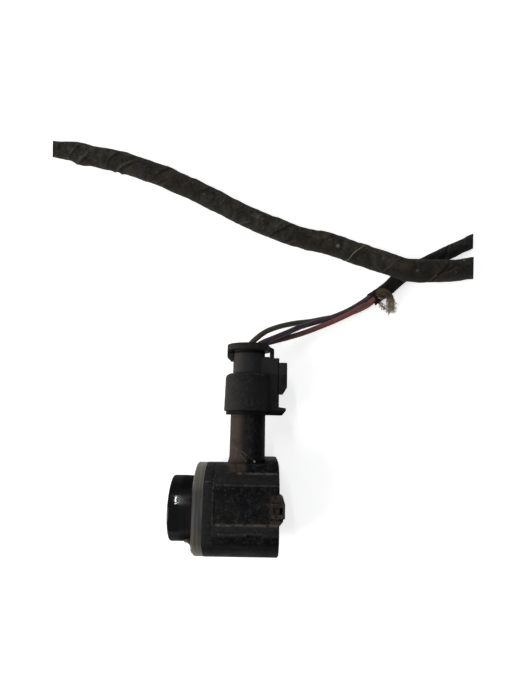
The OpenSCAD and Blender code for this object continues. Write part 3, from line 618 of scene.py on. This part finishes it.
def cloth_tape(name, base, dust, edge, thread, lint=()):
    """Woven tape. Its tint layer holds the place across a turn, its shade, its edge and the folds."""
    look = Shader(name)
    tint = look.node("VertexColor", {"layer_name": "tape_tint"})
    parts = look.node("SeparateColor", inputs={0: tint.outputs["Color"]})
    across, shade = parts.outputs[0], parts.outputs[1]
    strength = look.band(parts.outputs[2], 0.0, 0.5)
    pale = look.band(parts.outputs[2], 0.6, 0.95)
    crease_shade = tone(base, 0.25)
    cloud = look.noise(2.6, 6, 0.65)
    grain = look.noise(0.8, 5, 0.75)
    look.colour = look.mix(look.band(cloud, 0.38, 0.66), base, dust)
    look.lay(tone(base, 0.3), look.band(grain, 0.5, 0.34, 0, 0.75))
    look.lay(tone(dust, 2), look.band(grain, 0.52, 0.66, 0, 0.7))
    folds = look.noise(1.9, 4, 0.55, stretch=(1, 0.6, 1))
    # Painted shade in the hollows of the fold noise that also bumps the tape, dust and painted light on its
    # crests
    look.lay(crease_shade, look.band(folds, 0.5, 0.38, 0, 0.6))
    look.lay(tone(dust, 1.8), look.band(folds, 0.55, 0.68, 0, 0.6))
    streak = look.noise(1.1, 5, 0.6, stretch=(0.35, 1, 1))
    look.lay(dust, look.band(streak, 0.55, 0.75, 0, 0.6))
    look.lay(tone(base, 0.4), shade, 0.6)
    rusty = look.band(look.noise(6, 4, 0.6), 0.5, 0.68)
    look.lay((1.5 * dust[0], 1.15 * dust[1], 0.9 * dust[2]), rusty, 0.45)
    ridge = tint.outputs["Alpha"]
    # Dust and painted light on the crests of the mesh's folds, painted shade in their valleys
    look.lay(tone(dust, 2.4), look.band(ridge, 0.6, 0.9, 0, 0.8))
    look.lay(crease_shade, look.band(ridge, 0.45, 0.15, 0, 0.85))
    # Painted shade on the side of the tape that faces -Y
    look.lay(tone(base, 0.4), look.faces("Y", 0.15, -0.6, 0, 0.45))
    # Painted shade in the crease at the foot of each turn's edge
    broken = look.band(look.noise(4, 3), 0.28, 0.42)
    foot = look.times(look.band(across, 0.075, 0.02), broken, strength)
    look.lay(crease_shade, foot)
    # Painted light along the lifted edge of each turn
    lifted_edge_light = look.times(look.band(across, 0.9, 0.98), look.band(look.noise(3, 3), 0.45, 0.65))
    look.lay(tone(dust, 1.6), lifted_edge_light, 0.5)
    look.lay(edge, look.times(pale, look.band(look.noise(0.6, 4), 0.25, 0.45)))
    look.lay(edge, look.spots(3.4, 0.11), 0.35)
    if lint:
        fluff = look.times(look.flecks(lint), look.band(look.noise(0.45, 4, 0.7), 0.36, 0.56))
        look.lay(FLUFF, fluff)
    weave_uv = look.node("UVMap", {"uv_map": "tape_uv"}).outputs[0]
    threads = []
    for direction in ("X", "Y"):
        wave = look.node("TexWave", {"bands_direction": direction}, {
            "Vector": weave_uv, "Scale": 1 / (thread * MM) / WAVE_RATE * 2 * math.pi, "Distortion": 0.6,
            "Detail": 1.0, "Detail Scale": 2.0})
        threads.append(wave.outputs["Fac"])
    weave = look.times(*threads)
    look.lay(tone(base, 0.4), look.band(weave, 0.15, 0.75, 0.3, 0))
    look.bump(look.math("ADD", weave, look.times(folds, 8)), 0.09, 1.0)
    return look.finish(Roughness=0.8, Sheen_Weight=0.03, Sheen_Roughness=0.5, Specular_IOR_Level=0.15)


def plain_finish(name, colour, second, size, roughness, metallic=0.0):
    """A finish with soft variation, for pieces that are mostly out of sight."""
    look = Shader(name)
    cloud = look.noise(size, 5, 0.6)
    look.colour = look.mix(look.band(cloud, 0.3, 0.7), colour, second)
    rough = look.band(cloud, 0.3, 0.7, roughness, min(1.0, roughness + 0.15))
    look.bump(look.noise(size / 6, 3), 0.02, 0.4)
    return look.finish(Roughness=rough, Metallic=metallic)


def frayed_cloth(name, dark, light):
    """Torn cloth, dark where it leaves the tape and paler towards its end."""
    look = Shader(name)
    cloud = look.noise(0.5, 4, 0.65)
    along = look.math("ADD", look.axis("Y"), look.times(cloud, 2 * MM))
    look.colour = look.mix(look.band(along, 58.8 * MM, 55.8 * MM), dark, light)
    look.lay(tone(dark, 0.4), look.band(cloud, 0.5, 0.3, 0, 0.6))
    look.bump(look.noise(0.1, 3), 0.02, 0.4)
    return look.finish(Roughness=0.85, Specular_IOR_Level=0.2)


def white_floor():
    look = Shader("white floor")
    look.colour = look.mix(look.noise(4, 4), *FLOOR_WHITE)
    path = look.node("LightPath")
    seen = look.times(path.outputs["Is Camera Ray"], FLOOR_LIFT)
    mirrored = look.most(path.outputs["Is Glossy Ray"], path.outputs["Is Transmission Ray"])
    strength = look.most(seen, look.times(mirrored, MIRRORED_LIFT))
    lift = look.node("Emission", inputs={"Strength": strength})
    total = look.node("AddShader", inputs={0: look.bsdf.outputs[0], 1: lift.outputs[0]})
    look.tree.links.new(total.outputs[0], look.output.inputs["Surface"])
    return look.finish(Roughness=0.9)


# Mesh helpers
def link(name, data, materials):
    """Adds a mesh or curve as a piece on the root."""
    piece = add(name, data)
    for material in materials:
        data.materials.append(material)
    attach(piece, ROOT)
    return piece


def to_mesh(name, work):
    """Makes a mesh of a bmesh, and frees that."""
    work.normal_update()
    data = bpy.data.meshes.new(name)
    work.to_mesh(data)
    work.free()
    return data


def moulded(node, material, edge):
    """A copy of a node's solid with the small rounded edges of a moulding."""
    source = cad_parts[node]
    work = add("work", source.data.copy())
    mesh = bmesh.new()
    mesh.from_mesh(work.data)
    bmesh.ops.remove_doubles(mesh, verts=mesh.verts, dist=WELD)
    bmesh.ops.dissolve_limit(mesh, angle_limit=FLAT_ANGLE, verts=mesh.verts, edges=mesh.edges)
    mesh.to_mesh(work.data)
    mesh.free()
    bevel = work.modifiers.new("edges", "BEVEL")
    bevel.width = edge * MM
    bevel.segments = BEVEL_SEGMENTS
    bevel.limit_method = "ANGLE"
    bevel.angle_limit = BEVEL_ANGLE
    bevel.use_clamp_overlap = True
    shaped = bpy.data.meshes.new_from_object(work.evaluated_get(bpy.context.evaluated_depsgraph_get()))
    bpy.data.objects.remove(work)
    shaped.name = node
    shaped.materials.clear()
    shaped.polygons.foreach_set("use_smooth", [True] * len(shaped.polygons))
    shaped.set_sharp_from_angle(angle=SHARP_ANGLE)
    piece = link(node + "_moulding", shaped, [material])
    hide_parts(node)


def smooth_path(route, step):
    """Points about one step apart on a smooth curve through the route, in metres."""
    points = [Vector(p) * MM for p in route]
    points = [2 * points[0] - points[1], *points, 2 * points[-1] - points[-2]]
    path = []
    for a, b, c, d in zip(points, points[1:], points[2:], points[3:]):
        count = max(2, round((c - b).length / (step * MM)))
        for k in range(count):
            t = k / count
            bend = (2 * a - 5 * b + 4 * c - d) * t ** 2
            twist = (3 * b - a - 3 * c + d) * t ** 3
            path.append(0.5 * (2 * b + (c - a) * t + bend + twist))
    path.append(points[-2])
    return path


class Rail:
    """A smooth path with its length, from which a place and its cross axes are read by distance."""

    def __init__(self, route, step=0.4, spare_start=0.0, spare_end=0.0):
        self.route = smooth_path(route, step)
        self.points = list(self.route)
        if spare_start:
            back = (self.points[0] - self.points[1]).normalized()
            self.points.insert(0, self.points[0] + back * spare_start * MM)
        if spare_end:
            ahead = (self.points[-1] - self.points[-2]).normalized()
            self.points.append(self.points[-1] + ahead * spare_end * MM)
        self.marks = [0.0]
        for a, b in zip(self.points, self.points[1:]):
            self.marks.append(self.marks[-1] + (b - a).length)
        self.length = self.marks[-1]

    def at(self, s):
        s = min(max(s, 0), self.length)
        low = min(bisect_right(self.marks, s), len(self.marks) - 1) - 1
        a, b = self.points[low], self.points[low + 1]
        share = (s - self.marks[low]) / (self.marks[low + 1] - self.marks[low])
        ahead = self.points[min(low + 2, len(self.points) - 1)] - self.points[max(low - 1, 0)]
        along = ahead.normalized()
        side = UP.cross(along).normalized()
        return a.lerp(b, share), side, along.cross(side), along


class Turns:
    """The place of each turn's edge along a rail, and back again."""

    def __init__(self, marks, spare):
        self.spare = spare
        self.marks = [(mark + spare) * MM for mark in marks]
        self.count = len(marks) - 1

    def place(self, turn):
        k = min(max(math.floor(turn), 0), self.count - 1)
        return self.marks[k] + (self.marks[k + 1] - self.marks[k]) * (turn - k)

    def turn(self, place):
        k = min(max(bisect_right(self.marks, place) - 1, 0), self.count - 1)
        return k + (place - self.marks[k]) / (self.marks[k + 1] - self.marks[k])


def uneven(centre, out, height, reach, size, shift=Vector()):
    """Noise over the skin of a cord, in millimetres."""
    return height * value_noise.noise((centre + out * reach * MM) / (size * MM) + shift)


def wrapped_tape(
        name, rail, radius_at, turns, edges, shades, folds, lumps, lift, cuts, material, seed,
        pale_turn=-1):
    """A cord's tape wound in overlapping turns: the mesh rows follow the tape's own slanting edge."""
    rng = random.Random(seed)
    height = [lift * rng.uniform(0.6, 1.2) * edge for edge in (*edges[1:], 1)]
    rows = [turn + share for turn in range(turns.count) for share in TAPE_ROWS]
    mesh = bmesh.new()
    uv = mesh.loops.layers.uv.new("tape_uv")
    tint = mesh.loops.layers.float_color.new("tape_tint")
    ridges = {}

    def surface(row, column):
        round_share = column / TAPE_COLUMNS
        angle = 2 * math.pi * round_share - math.pi / 2
        s = min(max(turns.place(row + 0.5 - round_share), 0), rail.length)
        place = max(0.0, turns.turn(s) - 0.5 + round_share)
        turn = int(place + 1e-6)
        share = max(0.0, place - turn)
        centre, side, up, along = rail.at(s)
        out = math.cos(angle) * side + math.sin(angle) * up
        swell = SWELL_MEAN + uneven(centre, out, *SWELL)
        step = height[min(turn, turns.count)] * share ** EDGE_CURVE * max(swell, SWELL_LEAST)
        crease = uneven(centre, out, *CREASES)
        dent = uneven(centre, out, *DENTS)
        ridge = 0.5
        degrees = math.degrees(angle) % 360
        for fold_s, slant, fold_height, first, last in folds:
            window = min(max(min(degrees - first, last - degrees) / FOLD_FADE, 0), 1)
            gap = s / MM - turns.spare - fold_s - slant * (angle - math.pi / 2)
            valley = VALLEY_DEPTH * math.exp(-((gap - VALLEY_PLACE) / VALLEY_HALF) ** 2)
            fold = window * (math.exp(-(gap / CREST_HALF) ** 2) - valley)
            step += fold_height * fold
            ridge += math.copysign(0.5, fold_height) * fold
        for lump_s, half_length, lump_height, middle, half_angle in lumps:
            window = max(0.0, 1 - ((degrees - middle) / half_angle) ** 2)
            gap = (s / MM - turns.spare - lump_s) / half_length
            step += lump_height * window * math.exp(-gap ** 2)
        skin = radius_at(s) - TAPE_SUNK * lift + step + crease + dent
        point = centre + along * uneven(centre, out, *WANDER) * MM + out * skin * MM
        point.z = max(point.z, FLOOR_Z)
        vert = mesh.verts.new(point)
        ridges[vert] = ridge
        return vert

    grid = [[surface(row, column) for column in range(TAPE_COLUMNS)] for row in rows]
    turn_rows = len(TAPE_ROWS)
    for i in range(turn_rows, len(rows) - 1):
        for j in range(TAPE_COLUMNS):
            if j + 1 < TAPE_COLUMNS:
                corners = (grid[i][j], grid[i][j + 1], grid[i + 1][j + 1], grid[i + 1][j])
            else:
                corners = (grid[i][j], grid[i - turn_rows][0], grid[i + 1 - turn_rows][0], grid[i + 1][j])
            if len({tuple(v.co) for v in corners}) < 3:
                continue
            face = mesh.faces.new(corners)
            face.smooth = True
            turn = int(rows[i])
            for loop, (di, dj) in zip(face.loops, ((0, 0), (0, 1), (1, 1), (1, 0))):
                share = rows[i + di] - turn
                edge = 1.0 if turn == pale_turn and share > 0.98 else 0.5 * edges[turn]
                around = (j + dj) / TAPE_COLUMNS * math.pi * LOOM_D * MM
                loop[uv].uv = (around, turns.place(rows[i + di]))
                loop[tint] = (min(share, 1.0), shades[turn], edge, ridges[loop.vert])
    bmesh.ops.remove_doubles(mesh, verts=mesh.verts, dist=TAPE_WELD * MM)
    bmesh.ops.dissolve_degenerate(mesh, edges=mesh.edges, dist=TAPE_SLIVER * MM)
    for place, normal in cuts:
        geometry = list(mesh.verts) + list(mesh.edges) + list(mesh.faces)
        bmesh.ops.bisect_plane(mesh, geom=geometry, plane_co=place, plane_no=normal, clear_outer=True)
    loose = [v for v in mesh.verts if not v.link_faces]
    bmesh.ops.delete(mesh, geom=loose, context="VERTS")
    hem_ends(mesh)
    return link(name, to_mesh(name, mesh), [material])


def hem_ends(mesh):
    """Turns each open end inwards by the tape's thickness and closes it a little way inside."""
    rims = {}
    for edge in mesh.edges:
        if edge.is_boundary:
            for vert in edge.verts:
                rims.setdefault(vert, []).append(edge)
    unseen = set(rims)
    while unseen:
        first = unseen.pop()
        loop, edges, queue = {first}, set(), [first]
        while queue:
            vert = queue.pop()
            for edge in rims[vert]:
                edges.add(edge)
                other = edge.other_vert(vert)
                if other in unseen:
                    unseen.discard(other)
                    loop.add(other)
                    queue.append(other)
        centre = sum((v.co for v in loop), Vector()) / len(loop)
        inner = Vector()
        for vert in loop:
            for edge in vert.link_edges:
                if edge not in edges:
                    inner += edge.other_vert(vert).co - vert.co
        inner.normalize()
        for depth in (0, END_DEPTH):
            made = bmesh.ops.extrude_edge_only(mesh, edges=list(edges))["geom"]
            verts = [g for g in made if isinstance(g, bmesh.types.BMVert)]
            edges = {g for g in made if isinstance(g, bmesh.types.BMEdge) and g.is_boundary}
            for vert in verts:
                if depth:
                    vert.co += inner * depth * MM
                else:
                    vert.co += (centre - vert.co).normalized() * TAPE_WALL * MM
        bmesh.ops.contextual_create(mesh, geom=list(edges))


def cut_wires(name, rail, at_end, normal, count, ring_r, materials, slot):
    """The cut ends of the wires inside a tape, each with its bare core."""
    insulation_r, core_r, length, bare, sides, first_angle = 0.82, 0.42, 2.4, 0.25, 18, 0.4
    section = ((insulation_r, length), (insulation_r, bare), (core_r, bare), (core_r, 0.0))
    end = rail.route[-1 if at_end else 0]
    _, side, up, along = rail.at(rail.length if at_end else 0)
    if not at_end:
        along = -along
    middles = [(0.0, 0.0)] if count > 4 else []
    around = count - len(middles)
    for k in range(around):
        angle = 2 * math.pi * k / around + first_angle
        middles.append((ring_r * math.cos(angle), ring_r * math.sin(angle)))
    mesh = bmesh.new()
    for k, (a, b) in enumerate(middles):
        rings = []
        for radius, back in section:
            ring = []
            for j in range(sides):
                angle = 2 * math.pi * j / sides
                across = (a + radius * math.cos(angle)) * side
                above = (b + radius * math.sin(angle)) * up
                point = end + (across + above) * MM
                run = (end - point).dot(normal) / along.dot(normal)
                ring.append(mesh.verts.new(point + along * (run - back * MM)))
            rings.append(ring)
        core = len(materials) - 1
        for index, (low, high) in enumerate(zip(rings, rings[1:])):
            for j in range(sides):
                face = mesh.faces.new((low[j], low[(j + 1) % sides], high[(j + 1) % sides], high[j]))
                face.smooth = index != 1
                face.material_index = core if index == 2 else k % core
        mesh.faces.new(rings[0][::-1]).material_index = k % core
        mesh.faces.new(rings[-1]).material_index = core
    bmesh.ops.recalc_face_normals(mesh, faces=mesh.faces)
    link(name, to_mesh(name, mesh), materials)


# Wires, taped cords and the frayed tail
def wire_route(colour):
    dx, dz = PINS[colour]
    angle = math.radians(BUNDLE_ANGLES[colour])
    offset = BUNDLE_R * (math.cos(angle) * BRANCH_SIDE + math.sin(angle) * UP)
    foot = [(STUB_X + dx, WIRE_FOOT_Y, dz), (STUB_X + dx, WIRE_SEAL_Y, dz)]
    end = [BRANCH_START + run * BRANCH_DIR + offset for run in (-BUNDLE_RUN, 0, IN_TAPE)]
    return foot + WIRE_ROUTES[colour] + end


def make_wire(colour, material):
    data = bpy.data.curves.new("wire_" + colour, "CURVE")
    data.dimensions = "3D"
    data.bevel_depth = WIRE_D / 2 * MM
    data.bevel_resolution = WIRE_ROUNDNESS
    data.use_fill_caps = True
    path = smooth_path(wire_route(colour), WIRE_STEP)
    spline = data.splines.new("POLY")
    spline.points.add(len(path) - 1)
    for point, place in zip(spline.points, path):
        point.co = (*place, 1)
    spline.use_smooth = True
    piece = link("insulated_wire_" + colour, data, [material])
    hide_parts("wire_" + colour)


def branch_radius(s):
    """The branch's radius in millimetres, with more tape towards its cut end."""
    return BRANCH_D / 2 + BRANCH_SWELL * min(max((s / MM - SWELL_FROM) / SWELL_RUN, 0.0), 1.0)


def loom_radius(s):
    """The loom's radius in millimetres, which grows from its thin end."""
    thin = LOOM_ROUTE[:LOOM_THIN_POINTS + 1]
    run = sum((Vector(b) - Vector(a)).length for a, b in zip(thin, thin[1:]))
    share = min(max((s / MM - END_SPARE) / run, 0.0), 1.0)
    return (LOOM_END_D + (LOOM_D - LOOM_END_D) * share) / 2


def tape_cord(node):
    """Hides the node that a piece of wound tape stands for."""
    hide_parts(node)


def closed_tube(mesh, rings, material_index):
    """Skins a row of closed rings and caps both ends."""
    sides = len(rings[0])
    for low, high in zip(rings, rings[1:]):
        for j in range(sides):
            face = mesh.faces.new((low[j], low[(j + 1) % sides], high[(j + 1) % sides], high[j]))
            face.smooth = True
            face.material_index = material_index
    for cap in (rings[0][::-1], rings[-1]):
        mesh.faces.new(cap).material_index = material_index


def add_thread(mesh, points, radius, material_index):
    """A thin thread through some points, tapering to its end and kept above the table."""
    rings = []
    count = len(points) - 1
    for i, place in enumerate(points):
        ahead = (points[min(i + 1, count)] - points[max(i - 1, 0)]).normalized()
        side = ahead.cross(UP).normalized()
        up = side.cross(ahead)
        r = radius * (1 - THREAD_TAPER * i / count) * MM
        ring = []
        for k in range(THREAD_SIDES):
            angle = 2 * math.pi * k / THREAD_SIDES
            point = place + r * (math.cos(angle) * side + math.sin(angle) * up)
            point.z = max(point.z, FLOOR_Z + r * (1 + math.sin(angle)))
            ring.append(mesh.verts.new(point))
        rings.append(ring)
    closed_tube(mesh, rings, material_index)


def frayed_tail(materials):
    """The torn end of the cloth tape: matted strands that end in loose threads."""
    rng = random.Random(TAIL_SEED)
    mesh = bmesh.new()
    for route, width, strands in BUNDLES:
        rail = Rail(route, BUNDLE_STEP)
        for k in range(strands):
            across = width * (rng.random() - 0.5)
            lift = rng.uniform(-0.1, 0.35)
            start, end = rng.uniform(0, 0.3), rng.uniform(0.75, 1.1)
            points = []
            for i in range(STRAND_POINTS):
                share = start + (end - start) * i / (STRAND_POINTS - 1)
                place, side, up, along = rail.at(share * rail.length)
                place = place + along * max(share - 1, 0) * rail.length
                spread = across * (0.75 + 0.35 * math.sin(0.8 * math.pi * min(share, 1)))
                stray = spread + (0.2 + 1.2 * share) * value_noise.noise(Vector((share * 9, k * 3.7, 1)))
                rise = lift + (0.2 + 0.6 * share) * value_noise.noise(Vector((share * 9, k * 3.7, 5)))
                points.append(place + (side * stray + up * rise) * MM)
            add_thread(mesh, points, STRAND_R * rng.uniform(0.7, 1.5), k % 2)
    for k in range(FIBRES):
        place, side, up, along = rail.at(rail.length * (1 - 0.5 * rng.random() ** 1.3))
        place = place + side * rng.uniform(-0.5, 0.5) * RAG_WIDTH * MM
        heading = (along + side * rng.uniform(-0.9, 0.9) + up * rng.uniform(-0.3, 0.4)).normalized()
        length = rng.uniform(1.2, 3.0)
        curl = Vector((rng.uniform(-1, 1), rng.uniform(-1, 1), rng.uniform(-0.6, 0.3)))
        points = [place]
        for _ in range(FIBRE_STEPS):
            points.append(points[-1] + heading * length / FIBRE_STEPS * MM)
            heading = (heading + 0.25 * curl + Vector((0, 0, -0.12))).normalized()
        add_thread(mesh, points, FIBRE_R * rng.uniform(0.8, 1.5), 1 + k % 2)
    bmesh.ops.recalc_face_normals(mesh, faces=mesh.faces)
    piece = link("frayed_tail", to_mesh("frayed_tail", mesh), materials)
    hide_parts("tape_tail")


# Build
make_camera()
make_light()

floor_mesh = bpy.data.meshes.new("floor")
floor_corners = ((-1, -1), (1, -1), (1, 1), (-1, 1))
floor_mesh.from_pydata(
    [(x * FLOOR_REACH, y * FLOOR_REACH, FLOOR_Z) for x, y in floor_corners], [], [(0, 1, 2, 3)])
floor = add("floor", floor_mesh)
floor_mesh.materials.append(white_floor())

copper = plain_finish("copper", (0.55, 0.28, 0.14), (0.65, 0.36, 0.2), 1.0, 0.3, 1.0)
wires = {colour: wire_plastic(colour + " insulation", *values) for colour, values in WIRE_COLOURS.items()}
for colour, finish in wires.items():
    make_wire(colour, finish)

branch_rail = Rail(BRANCH_ROUTE, spare_end=END_SPARE)
branch_finish = cloth_tape("branch tape", *BRANCH_COLOURS, BRANCH_THREAD)
branch = wrapped_tape(
    "wrapped_branch", branch_rail, branch_radius, Turns(BRANCH_TURNS, 0), BRANCH_EDGES, BRANCH_SHADES,
    BRANCH_FOLDS, (), BRANCH_LIFT, [(branch_rail.route[-1], CUT_RIGHT)], branch_finish,
    BRANCH_SEED)
tape_cord("branch_tape")
cut_wires(
    "branch_wire_ends", branch_rail, True, CUT_RIGHT, *BRANCH_ENDS, [*wires.values(), copper],
    "branch_tape")

loom_rail = Rail(LOOM_ROUTE, spare_start=END_SPARE, spare_end=END_SPARE)
loom_finish = cloth_tape("loom tape", *LOOM_COLOURS, LOOM_THREAD, LOOM_LINT)
loom = wrapped_tape(
    "wrapped_loom", loom_rail, loom_radius, Turns(LOOM_TURNS, END_SPARE), LOOM_EDGES, LOOM_SHADES,
    LOOM_FOLDS, LOOM_LUMPS, LOOM_LIFT, [(loom_rail.route[0], CUT_LEFT), (loom_rail.route[-1], CUT_RIGHT)],
    loom_finish, LOOM_SEED, LOOM_PALE_TURN)
tape_cord("main_loom")
loom_wires = [
    plain_finish("grey insulation", (0.12, 0.12, 0.12), (0.18, 0.18, 0.17), 1.0, 0.45),
    plain_finish("brown insulation", (0.07, 0.035, 0.02), (0.1, 0.05, 0.03), 1.0, 0.45),
    plain_finish("black insulation", (0.012, 0.012, 0.012), (0.02, 0.02, 0.02), 1.0, 0.45),
    copper,
]
cut_wires("loom_wire_ends_left", loom_rail, False, CUT_LEFT, *LEFT_ENDS, loom_wires, "loom_tape")
cut_wires("loom_wire_ends_right", loom_rail, True, CUT_RIGHT, *RIGHT_ENDS, loom_wires, "loom_tape")
frayed_tail([
    frayed_cloth("torn tape", (0.045, 0.036, 0.02), (0.17, 0.13, 0.09)),
    frayed_cloth("frayed strands", (0.1, 0.08, 0.05), (0.5, 0.41, 0.31)),
    plain_finish("loose threads", (0.2, 0.165, 0.12), (0.44, 0.38, 0.3), 0.8, 0.85),
])

housing_finish = housing_plastic()
plug_finish = plug_plastic()
moulded("housing", housing_finish, edge=0.14)
moulded("retaining_collar", housing_finish, edge=0.1)
moulded("decoupling_ring", silicone(), edge=0.15)
moulded("membrane_cup", membrane_paint(), edge=0.08)
moulded("plug_housing", plug_finish, edge=0.12)
moulded("rear_cap", plug_finish, edge=0.14)

# Inner pieces: finish, its two colours, size of its patches, roughness and metal
INNER = {
    "piezo_disc": ("silvered ceramic", (0.5, 0.47, 0.4), (0.62, 0.6, 0.55), 1.5, 0.35),
    "damping_pad": ("damping foam", (0.06, 0.06, 0.055), (0.1, 0.1, 0.09), 0.8, 0.85),
    "circuit_board": ("solder mask", (0.02, 0.12, 0.05), (0.03, 0.16, 0.07), 2.0, 0.4),
    "driver_chip": ("chip moulding", (0.015, 0.015, 0.016), (0.025, 0.025, 0.026), 1.0, 0.5),
    "transformer": ("ferrite", (0.05, 0.042, 0.036), (0.09, 0.07, 0.06), 1.0, 0.55),
    "capacitors": ("capacitor ceramic", (0.32, 0.24, 0.14), (0.42, 0.33, 0.2), 0.8, 0.4),
    "contact_pins": ("tinned brass", (0.55, 0.48, 0.3), (0.65, 0.6, 0.45), 1.0, 0.3, 1.0),
    "terminals": ("terminal brass", (0.5, 0.42, 0.2), (0.6, 0.52, 0.3), 1.0, 0.32, 1.0),
    "plug_seal": ("seal rubber", (0.25, 0.08, 0.05), (0.32, 0.11, 0.07), 1.2, 0.55),
    "wire_seal": ("wire seal rubber", (0.2, 0.07, 0.05), (0.27, 0.1, 0.07), 1.2, 0.55),
    "seal_retainer": ("retainer plastic", (0.03, 0.03, 0.033), (0.045, 0.045, 0.05), 1.2, 0.5),
}
inner_finishes = {node: plain_finish(*values) for node, values in INNER.items()}
inner_finishes["transducer_leads"] = copper
for node, finish in inner_finishes.items():
    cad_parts[node].data.materials.clear()
    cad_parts[node].data.materials.append(finish)

bpy.context.view_layer.update()
